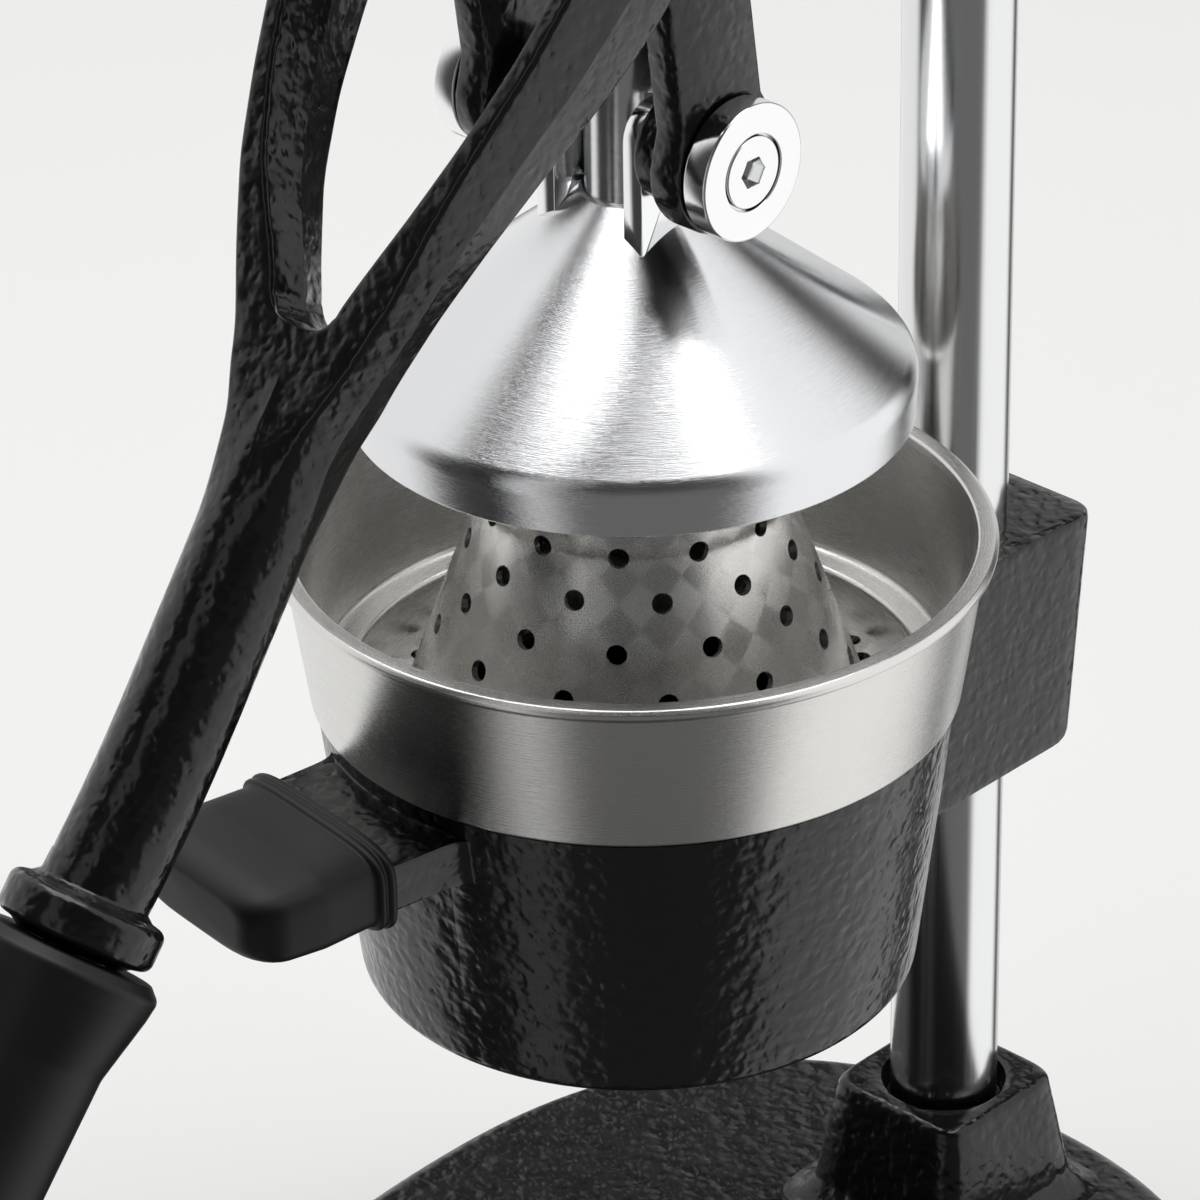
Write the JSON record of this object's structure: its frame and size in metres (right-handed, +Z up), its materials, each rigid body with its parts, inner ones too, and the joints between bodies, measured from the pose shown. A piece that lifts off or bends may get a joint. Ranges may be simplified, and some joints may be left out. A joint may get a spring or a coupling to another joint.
{
  "type": "hand citrus press",
  "caption": "Hand-lever citrus press: a toggle lever brings a steel cap down over a perforated dome in a strainer cup, which drains to a glass below.",
  "frame": {"origin": "bottom centre of the whole press at rest, on the table", "axes": "+Z up, the lever's grip towards -Y, the column towards +Y, the cross pins along X"},
  "size_m": [0.17, 0.3357, 0.4301],
  "materials": {
    "enamel": "glossy black hammered enamel",
    "chrome": "polished chrome plate",
    "stainless": "brushed round the axis",
    "cap_steel": "turned and fine brushed",
    "bright_steel": "bright machined",
    "black_steel": "blackened",
    "rubber": "matte moulded",
    "bronze": "plain turned"
  },
  "bodies": {
    "stand": {"base": "enamel", "feet": "rubber", "feet_screws": "bright_steel", "column": "chrome", "column_bolt": "bright_steel", "column_washer": "bright_steel", "socket_screw": "black_steel", "column_cap": "enamel", "cup": "enamel", "cup_screws": "black_steel", "thumb_grip": "rubber", "head": "enamel", "head_screws": "black_steel", "guide_bush": "bronze", "pivot_screws": "bright_steel", "pivot_washers": "bright_steel"},
    "strainer": {"strainer": "stainless", "reamer": "stainless"},
    "lever": {"lever": "enamel", "lever_grip": "rubber", "hub_bushes": "bronze", "link_pins": "bright_steel", "pin_clips": "black_steel"},
    "links": {"link_left": "enamel", "link_right": "enamel", "eye_bushes": "bronze"},
    "plunger": {"press_cap": "cap_steel", "plunger_rod": "cap_steel", "rod_collar": "cap_steel", "collar_screw": "black_steel", "cap_screws": "bright_steel", "cap_washers": "bright_steel"}
  },
  "joints": [
    {"name": "lever_hinge", "type": "hinge", "parent": "stand", "child": "lever", "pos_m": [0, 0.04237, 0.39407], "axis": [-1, 0, 0], "range_deg": [0, 64]},
    {"name": "link_hinge", "type": "hinge", "parent": "lever", "child": "links", "pos_m": [0, 0.03504, 0.34189], "axis": [1, 0, 0], "range_deg": [0, 128]},
    {"name": "plunger_hinge", "type": "hinge", "parent": "links", "child": "plunger", "pos_m": [0, 0.04237, 0.2897], "axis": [-1, 0, 0], "range_deg": [0, 64]},
    {"name": "strainer_lift", "type": "slide", "parent": "stand", "child": "strainer", "axis": [0, 0, 1], "range_m": [0, 0.01]}
  ],
  "couplings": [
    {"joint": "link_hinge", "follows": "lever_hinge", "ratio": 2},
    {"joint": "plunger_hinge", "follows": "lever_hinge", "ratio": 1}
  ]
}
